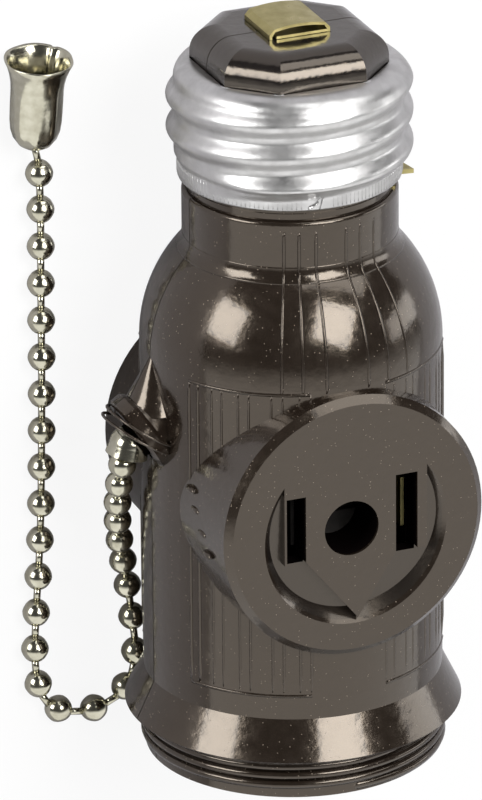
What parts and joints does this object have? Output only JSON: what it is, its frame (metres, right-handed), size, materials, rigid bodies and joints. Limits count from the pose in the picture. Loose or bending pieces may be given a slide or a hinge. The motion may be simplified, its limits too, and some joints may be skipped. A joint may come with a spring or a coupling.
{
  "type": "lamp socket adapter",
  "caption": "Brown moulded lamp socket adapter with a plug outlet on each face, a metal plug shell, a lamp socket at its open end and a bead pull chain with a bell.",
  "frame": {"origin": "Under the middle of the two outlets, on the plane that the back outlet's face lies on.", "axes": "+Y runs along the adapter's axis from the open lamp end to the plug shell, +Z is the way the front outlet faces (up as it lies), +X completes the right-handed frame, away from the chain's spout."},
  "size_m": [0.045, 0.0862, 0.036],
  "materials": {
    "body_moulding": "glossy moulded phenolic, brown, fine ribs",
    "plug_shell_metal": "satin bright sheet, rolled thread",
    "brass_parts": "aged bright brass strip",
    "chain_nickel": "worn nickel plate",
    "steel_fixings": "plain zinc-plated steel",
    "insulation": "matte dark insulating fibre"
  },
  "bodies": {
    "housing": {"front_shell": "body_moulding", "back_shell": "body_moulding", "body_screw": "steel_fixings", "body_nut": "steel_fixings", "base_screw_shell": "plug_shell_metal", "base_contact": "brass_parts", "line_strap": "brass_parts", "hot_bus": "brass_parts", "neutral_strap": "brass_parts", "shell_tab": "brass_parts", "front_hot_clip": "brass_parts", "front_neutral_clip": "brass_parts", "back_hot_clip": "brass_parts", "back_neutral_clip": "brass_parts", "socket_disc": "insulation", "lamp_screw_shell": "plug_shell_metal", "lamp_centre_spring": "brass_parts", "spring_rivet": "brass_parts", "switch_base": "insulation", "switch_bracket": "steel_fixings", "return_spring": "steel_fixings", "switch_in_contact": "brass_parts", "switch_out_contact": "brass_parts"},
    "pull_chain": {"pull_wire": "steel_fixings", "chain_coupling": "chain_nickel", "chain_beads": "chain_nickel", "chain_links": "chain_nickel", "chain_bell": "chain_nickel"},
    "lever": {"pull_lever": "steel_fixings", "drive_pawl": "steel_fixings"},
    "rotor": {"rotor_shaft": "steel_fixings", "rotor_drum": "insulation", "rotor_star": "brass_parts", "ratchet_wheel": "steel_fixings"}
  },
  "joints": [
    {"name": "chain_pull", "type": "slide", "parent": "housing", "child": "pull_chain", "axis": [-0.676, -0.7369, 0], "range_m": [0, 0.007], "stiffness_N_per_m": 120, "springref_m": -0.002},
    {"name": "lever_turn", "type": "hinge", "parent": "housing", "child": "lever", "pos_m": [-0.00231, 0.01181, 0.0177], "axis": [0, 0, 1], "range_deg": [0, 47.3], "deforming": ["return_spring"]},
    {"name": "rotor_turn", "type": "hinge", "parent": "housing", "child": "rotor", "pos_m": [-0.00231, 0.01181, 0.0177], "axis": [0, 0, 1], "continuous": true}
  ],
  "couplings": [
    {"joint": "lever_turn", "follows": "chain_pull", "rad_per_m": 117.83}
  ]
}
